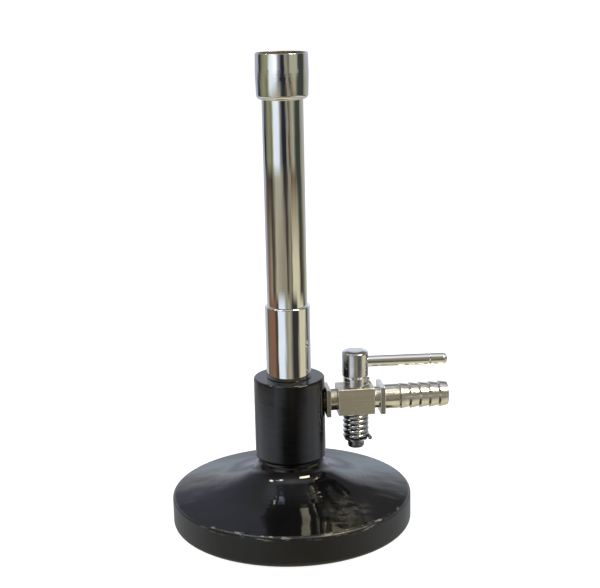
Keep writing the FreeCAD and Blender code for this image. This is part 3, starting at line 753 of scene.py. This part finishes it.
def make_stopcock_plug():
    """The taper plug: a round head with the lever's hole, a stem with the stop notch, and the tail."""
    item = lathe("stopcock_plug_turned", [
        (TAIL_HOLE, PLUG_LOW),
        (TAIL_RADIUS, PLUG_LOW, 0.15),
        (TAIL_RADIUS, -BLOCK_HALF + 0.3),
        (TAPER_FOOT_RADIUS, -BLOCK_HALF + 0.3),
        (TAPER_TOP_RADIUS, BLOCK_HALF + 0.1),
        (TAPER_TOP_RADIUS, STEM_FOOT),
        (STEM_RADIUS, STEM_FOOT, 0.1),
        (STEM_RADIUS, STEM_TOP, 0.15),
        (HEAD_RADIUS, HEAD_FOOT, 0.2),
        (HEAD_RADIUS, PLUG_HIGH - 0.35, 0.55),
        (HEAD_DOME_RADIUS, PLUG_HIGH - 0.04),
        (0, PLUG_HIGH),
        (0, TAIL_HOLE_TOP),
        (TAIL_HOLE, TAIL_HOLE_TOP),
    ], FINE)
    notch = lathe("notch", [
        (NOTCH_RADIUS, NOTCH_FOOT),
        (STEM_RADIUS + 0.2, NOTCH_FOOT),
        (STEM_RADIUS + 0.2, NOTCH_TOP),
        (NOTCH_RADIUS, NOTCH_TOP),
    ], SMALL, NOTCH_START, NOTCH_SWEEP)
    way = moved(rod("way", GAS_WAY, -STEM_RADIUS, STEM_RADIUS), ALONG_X)
    hole = rod("hole", LEVER_RADIUS + 0.02, LEVER_FOOT - 0.1, HEAD_RADIUS + 1)
    moved(hole, Matrix.Translation((0, 0, LEVER_HEIGHT)) @ ALONG_X)
    combined(item, [notch, way, hole])
    moved(item, PLUG_AXIS)
    return settle(item, "stopcock_plug", "plug", nickel["plug"])


LEVER_LOW, LEVER_HIGH = span("lever_rod")
LEVER_HEIGHT = (LEVER_LOW.z + LEVER_HIGH.z) / 2 - GAS_HEIGHT
LEVER_RADIUS = (LEVER_HIGH.z - LEVER_LOW.z) / 2
LEVER_FOOT = 1.6
LEVER_TIP = 30.75
LEVER_TIP_ROUND = 1.35
RING_PLACE = 24.6
RING_WIDTH = 0.5
RING_DEPTH = 0.15


def make_lever_rod():
    """The lever: a round rod with one fine ring near its rounded tip."""
    item = lathe("lever_rod_turned", [
        (0, LEVER_FOOT),
        (LEVER_RADIUS, LEVER_FOOT, 0.2),
        (LEVER_RADIUS, RING_PLACE, 0.1),
        (LEVER_RADIUS - RING_DEPTH, RING_PLACE + RING_WIDTH / 2),
        (LEVER_RADIUS, RING_PLACE + RING_WIDTH, 0.1),
        (LEVER_RADIUS, LEVER_TIP, LEVER_TIP_ROUND),
        (0, LEVER_TIP),
    ])
    moved(item, PLUG_AXIS @ Matrix.Translation((0, 0, LEVER_HEIGHT)) @ ALONG_X)
    return settle(item, "lever_rod", "plug", chrome("chrome_lever", ROUND_THE_X_AXIS, haze=0.04))


SPRING_RADIUS = 3.7
WIRE = 1.3
SPRING_LOW = span("spring_retaining_washer")[1].z - GAS_HEIGHT + WIRE / 2
SPRING_HIGH = span("spring_seat_washer")[0].z - GAS_HEIGHT - WIRE / 2
SPRING_TURNS = 5.4
STEPS_PER_TURN = 60
CLOSED_SHARE = 0.09
EASED_SHARE = 0.12
TAIL_SWEEP = math.radians(48)
TAIL_REACH = 1.9
SPRING_START = math.radians(-38)


def spring_path():
    """Right-handed turns, closed at both ends, whose lower end is bent outwards."""
    path = []
    steps = STEPS_PER_TURN * math.ceil(SPRING_TURNS)
    for i in range(steps + 1):
        share = i / steps
        angle = math.tau * SPRING_TURNS * share
        rise = min(max((share - CLOSED_SHARE) / (1 - 2 * CLOSED_SHARE), 0), 1)
        eased = rise * rise * (3 - 2 * rise)
        rise = EASED_SHARE * eased + (1 - EASED_SHARE) * rise
        out = max(1 - angle / TAIL_SWEEP, 0) ** 1.5 * TAIL_REACH
        radius = SPRING_RADIUS + out
        height = SPRING_LOW + (SPRING_HIGH - SPRING_LOW) * rise
        way = SPRING_START + angle
        path.append(Vector((radius * math.cos(way), radius * math.sin(way), height)))
    return path


def make_plug_spring():
    """The spring that pulls the plug tight in its taper."""
    item = moved(tube_along("plug_spring_wound", spring_path(), WIRE / 2), PLUG_AXIS)
    return settle(item, "plug_spring", "plug", spring_steel["wire"])


SCREW_HEAD_RADIUS = 2.75
SCREW_HEAD_HEIGHT = 2.85
SCREW_HEAD_ROUND = 0.8
SCREW_SHANK_RADIUS = 1.2
SLOT_HALF_WIDTH = 0.4
SLOT_DEPTH = 1.0


def make_retaining_screw():
    """The slotted screw under the plug, with a low round head."""
    low, high = span("retaining_screw")
    foot, top = low.z - GAS_HEIGHT, high.z - GAS_HEIGHT
    seat = foot + SCREW_HEAD_HEIGHT
    item = lathe("retaining_screw_turned", [
        (0, foot),
        (SCREW_HEAD_RADIUS, foot, SCREW_HEAD_ROUND),
        (SCREW_HEAD_RADIUS, seat, 0.15),
        (SCREW_SHANK_RADIUS, seat),
        (SCREW_SHANK_RADIUS, top, 0.2),
        (0, top),
    ])
    reach = SCREW_HEAD_RADIUS + 0.25
    slot = block("slot", (-reach, -SLOT_HALF_WIDTH, foot - 1), (reach, SLOT_HALF_WIDTH, foot + SLOT_DEPTH), 0)
    combined(item, [slot])
    moved(item, PLUG_AXIS)
    return settle(item, "retaining_screw", "plug", spring_steel["screw"])


NOZZLE_BORE = 1.9
PLATE_START = 29.9
PLATE_END = 31.6
PLATE_HOLE = 2.4
SHANK_RADIUS = 4.1
BARBS = 5
BARB_START = 37.1
BARB_PITCH = 3.33
BARB_CREST = 4.38
BARB_ROOT = 3.9
BARB_GROOVE_WIDTH = 0.62
BARB_GROOVE_DEPTH = 0.38


def make_hose_nozzle():
    """The tail for the rubber hose: neck, square plate, plain shank and five barbs."""
    low, high = span("hose_nozzle")
    inside_plate = PLATE_START + 0.5
    outline = [
        (NOZZLE_BORE, low.x),
        (OUTLET_THREAD, low.x, 0.2),
        (OUTLET_THREAD, BLOCK_HIGH.x),
        (NECK_RADIUS, BLOCK_HIGH.x, 0.2),
        (NECK_RADIUS, inside_plate),
        (SHANK_RADIUS, inside_plate),
    ]
    for i in range(BARBS):
        step = BARB_START + i * BARB_PITCH
        before = SHANK_RADIUS if i == 0 else BARB_ROOT
        outline.append((before, step - BARB_GROOVE_WIDTH))
        outline.append((BARB_ROOT - BARB_GROOVE_DEPTH, step - 0.02))
        outline.append((BARB_CREST, step, 0.1))
    outline.append((BARB_ROOT, high.x, 0.4))
    outline.append((NOZZLE_BORE, high.x))
    item = moved(lathe("hose_nozzle_turned", outline), GAS_AXIS)
    corner = Vector((PLATE_START, -SQUARE_HALF, GAS_HEIGHT - SQUARE_HALF))
    other = Vector((PLATE_END, SQUARE_HALF, GAS_HEIGHT + SQUARE_HALF))
    square = block("plate", corner, other, 0.25)
    hole = rod("hole", PLATE_HOLE, PLATE_START - 1, PLATE_END + 1)
    combined(square, [moved(hole, GAS_AXIS)])
    combined(item, [square], "UNION")
    return settle(item, "hose_nozzle", "burner", nickel["polished"])


# ---------------------------------------------------------------- room, floor and light

TONES = {
    "white": (1.25, 1.27, 1.30),
    "ice": (0.91, 1.01, 1.14),
    "pale": (0.80, 0.83, 0.88),
    "silver": (0.58, 0.60, 0.63),
    "ash": (0.30, 0.31, 0.33),
    "steel": (0.29, 0.30, 0.38),
    "lilac": (0.46, 0.485, 0.58),
    "slate": (0.15, 0.147, 0.155),
    "coal": (0.040, 0.038, 0.040),
    "ink": (0.024, 0.027, 0.040),
    "pine": (0.050, 0.066, 0.056),
    "linen": (0.74, 0.69, 0.49),
    "stone": (0.47, 0.45, 0.345),
    "khaki": (0.325, 0.30, 0.22),
    "drab": (0.22, 0.20, 0.155),
    "moss": (0.31, 0.32, 0.19),
    "olive": (0.18, 0.18, 0.125),
    "umber": (0.125, 0.10, 0.072),
    "rust": (0.25, 0.14, 0.09),
    "bark": (0.088, 0.060, 0.044),
}

# What the bright metal sees round it: rings of the room at rising elevations in degrees, each a list of
# (azimuth in degrees from the camera's own direction, positive to its right, tone). They were placed
# after colour readings of the photograph's reflections, so that the chrome shows the same soft bands.
HEAD_HEIGHT = ((-180, "lilac"), (-122, "lilac"), (-116, "coal"), (-105, "coal"), (-98, "olive"),
               (-80, "moss"), (-64, "moss"), (-60, "stone"), (-54, "ice"), (-34, "white"), (-24, "white"),
               (-19, "silver"), (-13, "ash"), (-7, "slate"), (-3, "ink"), (9, "ink"), (13, "khaki"),
               (20, "khaki"), (25, "olive"), (31, "olive"), (36, "stone"), (66, "stone"), (72, "khaki"),
               (77, "pine"), (99, "pine"), (105, "bark"), (110, "khaki"), (120, "stone"), (127, "lilac"),
               (180, "lilac"))
TUBE_TOP = ((-180, "lilac"), (-136, "lilac"), (-128, "ink"), (-116, "ink"), (-108, "olive"), (-88, "moss"),
            (-68, "olive"), (-62, "stone"), (-56, "ice"), (-30, "ice"), (-23, "silver"), (-18, "ash"),
            (-10, "umber"), (-5, "ink"), (14, "ink"), (18, "khaki"), (26, "khaki"), (31, "umber"),
            (36, "umber"), (42, "khaki"), (56, "stone"), (66, "olive"), (72, "pine"), (102, "pine"),
            (110, "khaki"), (134, "stone"), (145, "lilac"), (180, "lilac"))
UPPER_TUBE = ((-180, "lilac"), (-134, "lilac"), (-124, "slate"), (-110, "bark"), (-84, "bark"),
              (-74, "coal"), (-66, "olive"), (-58, "moss"), (-50, "stone"), (-24, "stone"), (-12, "khaki"),
              (-5, "slate"), (-1, "coal"), (12, "coal"), (17, "umber"), (24, "khaki"), (35, "khaki"),
              (41, "bark"), (47, "rust"), (57, "rust"), (63, "umber"), (70, "olive"), (76, "pine"),
              (100, "pine"), (110, "olive"), (128, "stone"), (150, "lilac"), (180, "lilac"))
LOWER_TUBE = ((-180, "lilac"), (-138, "lilac"), (-120, "olive"), (-106, "rust"), (-92, "khaki"),
              (-78, "bark"), (-66, "umber"), (-56, "stone"), (-20, "khaki"), (0, "khaki"), (6, "coal"),
              (12, "umber"), (24, "khaki"), (32, "umber"), (38, "linen"), (74, "linen"), (82, "khaki"),
              (90, "coal"), (108, "umber"), (118, "olive"), (136, "stone"), (160, "silver"), (180, "silver"))
COLLAR_HEIGHT = ((-180, "silver"), (-132, "silver"), (-120, "umber"), (-104, "rust"), (-70, "rust"),
                 (-60, "bark"), (-53, "bark"), (-47, "ice"), (-20, "ice"), (-12, "silver"), (-6, "khaki"),
                 (10, "stone"), (16, "khaki"), (22, "olive"), (28, "coal"), (52, "coal"), (58, "khaki"),
                 (64, "linen"), (98, "linen"), (108, "khaki"), (114, "coal"), (128, "ash"), (150, "silver"),
                 (180, "silver"))
BODY_HEIGHT = ((-180, "silver"), (-140, "ash"), (-116, "pale"), (-52, "ice"), (-36, "silver"), (-22, "ink"),
               (18, "coal"), (32, "ash"), (46, "silver"), (62, "pale"), (98, "pale"), (112, "ash"),
               (121, "coal"), (136, "ash"), (180, "silver"))
ROOM = (
    (-60, ((-180, "stone"), (-60, "linen"), (60, "linen"), (180, "stone"))),
    (-35, ((-180, "stone"), (-60, "stone"), (0, "linen"), (60, "stone"), (180, "stone"))),
    (-23, ((-180, "silver"), (-100, "pale"), (-50, "ash"), (-20, "coal"), (20, "coal"), (50, "ash"),
           (105, "pale"), (180, "silver"))),
    (-20.5, BODY_HEIGHT),
    (-18.6, BODY_HEIGHT),
    (-17.8, COLLAR_HEIGHT),
    (-14.4, COLLAR_HEIGHT),
    (-13.8, LOWER_TUBE),
    (-12.5, LOWER_TUBE),
    (-8.9, UPPER_TUBE),
    (-8.2, TUBE_TOP),
    (-7.2, TUBE_TOP),
    (-2.0, HEAD_HEIGHT),
    (2, HEAD_HEIGHT),
    (9, ((-180, "ice"), (-130, "ice"), (-100, "ash"), (-40, "khaki"), (0, "drab"), (60, "olive"),
         (100, "ash"), (130, "ice"), (180, "ice"))),
    (15, ((-180, "pale"), (-130, "pale"), (-60, "slate"), (0, "drab"), (60, "drab"), (130, "ice"),
          (180, "ice"))),
    (21, ((-180, "lilac"), (-120, "lilac"), (-60, "slate"), (0, "drab"), (60, "drab"), (120, "silver"),
          (180, "silver"))),
    (26, ((-180, "steel"), (-120, "steel"), (-60, "slate"), (0, "khaki"), (60, "drab"), (120, "slate"),
          (180, "slate"))),
    (40, ((-180, "steel"), (-120, "steel"), (-60, "slate"), (0, "khaki"), (60, "umber"), (120, "slate"),
          (180, "slate"))),
    (52, ((-180, "ash"), (0, "stone"), (180, "ash"))),
    (62, ((-180, "silver"), (0, "pale"), (180, "silver"))),
    (76, ((-180, "silver"), (0, "white"), (180, "silver"))),
)
BACKDROP = (1.0, 1.0, 1.0)
UNEVEN = math.radians(3.0)


def make_room():
    """The camera sees a plain white backdrop. Light and reflections come from the soft room round it."""
    world = bpy.data.worlds.new("room")
    bpy.context.scene.world = world
    world.use_nodes = True
    tree = world.node_tree
    tree.nodes.clear()
    look = put(tree, "TexCoord").outputs["Generated"]
    way = put(tree, "SeparateXYZ", {"Vector": look}).outputs
    turn = math_node(tree, "ARCTAN2", way["X"], math_node(tree, "MULTIPLY", way["Y"], -1.0))
    stretched = put(tree, "Mapping", {"Vector": look, "Scale": (1, 1, 9)}).outputs["Vector"]
    uneven = put(tree, "TexNoise", {"Vector": stretched, "Scale": 5.0, "Detail": 4.0}).outputs["Fac"]
    turn = math_node(tree, "ADD", turn, rescale(tree, uneven, 0.3, 0.7, -UNEVEN, UNEVEN))
    round_the_room = rescale(tree, turn, CAMERA_SIDE - math.pi, CAMERA_SIDE + math.pi, 0.0, 1.0)
    rings = []
    for elevation, stops in ROOM:
        places = [((azimuth + 180) / 360, TONES[tone]) for azimuth, tone in stops]
        rings.append((math.sin(math.radians(elevation)), ramp(tree, round_the_room, places)))
    colour = rings[0][1]
    for (low, _), (high, ring) in zip(rings, rings[1:]):
        colour = blend_colours(tree, rescale(tree, way["Z"], low, high, 0.0, 1.0), colour, ring)
    room = put(tree, "Background", {"Color": colour, "Strength": 1.0}).outputs[0]
    backdrop = put(tree, "Background", {"Color": (*BACKDROP, 1.0), "Strength": 1.0}).outputs[0]
    seen = put(tree, "LightPath").outputs["Is Camera Ray"]
    both = put(tree, "MixShader", {0: seen, 1: room, 2: backdrop}).outputs[0]
    put(tree, "OutputWorld", {"Surface": both})


FLOOR_SIZE = 6000.0
FLOOR_DROP = 0.02
FLOOR_GLOW = 0.88


def make_floor():
    """A plain pale floor, bright enough that only a trace of shadow shows at the base."""
    half = FLOOR_SIZE / 2
    shape = bmesh.new()
    shape.faces.new([shape.verts.new((x * half, y * half, -FLOOR_DROP))
                     for x, y in ((-1, -1), (1, -1), (1, 1), (-1, 1))])
    floor = moved(solid("floor", shape), Matrix.Scale(MM, 4))
    material, tree, shader = new_material("pale_floor")
    tint = ramp(tree, noise(tree, 8.0), ((0.3, (0.30, 0.30, 0.30)), (0.7, (0.31, 0.31, 0.31))))
    tree.links.new(tint, shader.inputs["Base Color"])
    shader.inputs["Roughness"].default_value = 1.0
    shader.inputs["Specular IOR Level"].default_value = 0.0
    shader.inputs["Emission Color"].default_value = (1.0, 1.0, 1.0, 1.0)
    shader.inputs["Emission Strength"].default_value = FLOOR_GLOW
    floor.data.materials.append(material)
    floor.visible_glossy = False
    floor.visible_diffuse = False


LIGHT_AIM = 0.03


def make_light(name, azimuth, elevation, distance, size, radiance, colour=(1, 1, 1), mirrored=False):
    """A panel, (width, height), that faces the burner. Its azimuth is taken from the camera's own direction.

    A mirrored panel is only seen in glossy surfaces, and the others only light matt ones.
    """
    data = bpy.data.lights.new(name, "AREA")
    data.shape = "RECTANGLE"
    data.size, data.size_y = size
    data.energy = math.pi * data.size * data.size_y * radiance
    data.color = colour
    lamp = bpy.data.objects.new(name, data)
    bpy.context.scene.collection.objects.link(lamp)
    turn = math.radians(azimuth) + CAMERA_SIDE
    lift = math.radians(elevation)
    way = Vector((math.sin(turn) * math.cos(lift), -math.cos(turn) * math.cos(lift), math.sin(lift)))
    lamp.location = way * distance + Vector((0, 0, LIGHT_AIM))
    lamp.rotation_euler = way.to_track_quat("Z", "Y").to_euler()
    lamp.visible_glossy = mirrored
    lamp.visible_diffuse = not mirrored


# ---------------------------------------------------------------- the whole burner

nickel = {
    "polished": metal("nickel_polished", colour=(0.86, 0.85, 0.81), shade=(0.72, 0.70, 0.65),
                      roughness=(0.13, 0.24), marks=ROUND_THE_X_AXIS, mark_scale=2200.0,
                      mark_depth=0.000004, smudges=320.0),
    "turned": metal("nickel_turned", colour=(0.62, 0.59, 0.52), shade=(0.54, 0.51, 0.44),
                    roughness=(0.16, 0.28), marks=ROUND_THE_X_AXIS, mark_scale=5000.0,
                    mark_depth=0.000004),
    "plug": metal("nickel_plug", colour=(0.70, 0.69, 0.68), shade=(0.52, 0.51, 0.51),
                  roughness=(0.09, 0.17), marks=ROUND_THE_Z_AXIS, mark_scale=3500.0,
                  mark_depth=0.000002, smudges=180.0),
    "bar": metal("nickel_bar", colour=(0.86, 0.82, 0.73), shade=(0.70, 0.65, 0.57),
                 roughness=(0.27, 0.42), marks=ALONG_THE_BAR, mark_scale=1900.0,
                 mark_depth=0.000016, smudges=260.0),
}
spring_steel = {
    "wire": metal("spring_wire", colour=(0.64, 0.65, 0.67), shade=(0.40, 0.39, 0.39),
                  roughness=(0.08, 0.20), marks=EVERY_WAY, mark_scale=1500.0, mark_depth=0.000004),
    "screw": metal("screw_steel", colour=(0.40, 0.39, 0.40), shade=(0.10, 0.10, 0.11),
                   roughness=(0.12, 0.34), marks=ROUND_THE_Z_AXIS, mark_scale=2500.0,
                   mark_depth=0.000008, smudges=500.0),
}
brass = metal("brass_turned", colour=(0.80, 0.62, 0.32), shade=(0.68, 0.50, 0.24),
              roughness=(0.14, 0.28), marks=ROUND_THE_Z_AXIS, mark_scale=3500.0, mark_depth=0.000005)
zinc = metal("zinc_plate", colour=(0.60, 0.61, 0.62), shade=(0.48, 0.50, 0.50),
             roughness=(0.22, 0.42), marks=EVERY_WAY, mark_scale=1800.0, mark_depth=0.000006)

KEPT = {
    "base_screw": zinc,
    "base_lock_washer": zinc,
    "jet_washer": fibre(),
    "inlet_washer": fibre(),
    "gas_jet": brass,
    "stop_pin": spring_steel["wire"],
    "spring_seat_washer": spring_steel["wire"],
    "spring_retaining_washer": spring_steel["wire"],
}

make_camera()
make_room()
make_floor()
make_light("overhead_panel", azimuth=30, elevation=75, distance=0.9, size=(0.5, 0.5), radiance=3.5)
make_light("left_panel", azimuth=-105, elevation=20, distance=0.6, size=(0.4, 0.4), radiance=8.0)
make_light("right_panel", azimuth=105, elevation=20, distance=0.6, size=(0.4, 0.4), radiance=8.0)
make_light("right_window", azimuth=53, elevation=46, distance=0.6, size=(0.27, 0.11), radiance=30.0,
           colour=(1.0, 0.91, 0.66), mirrored=True)
make_light("left_lamp", azimuth=-100, elevation=58, distance=0.6, size=(0.08, 0.06), radiance=20.0,
           colour=(1.0, 0.95, 0.80), mirrored=True)
make_light("left_window", azimuth=-60, elevation=62, distance=0.7, size=(0.20, 0.06), radiance=18.0,
           colour=(0.72, 0.84, 1.0), mirrored=True)
for node, finish in KEPT.items():
    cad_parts[node].material_slots[0].material = finish
make_base()
make_burner_body()
make_burner_tube()
make_air_collar()
make_flame_stabiliser()
make_lock_nut()
make_inlet_nipple()
make_stopcock_body()
make_stopcock_plug()
make_lever_rod()
make_plug_spring()
make_retaining_screw()
make_hose_nozzle()
bpy.context.scene.view_settings.view_transform = "Standard"
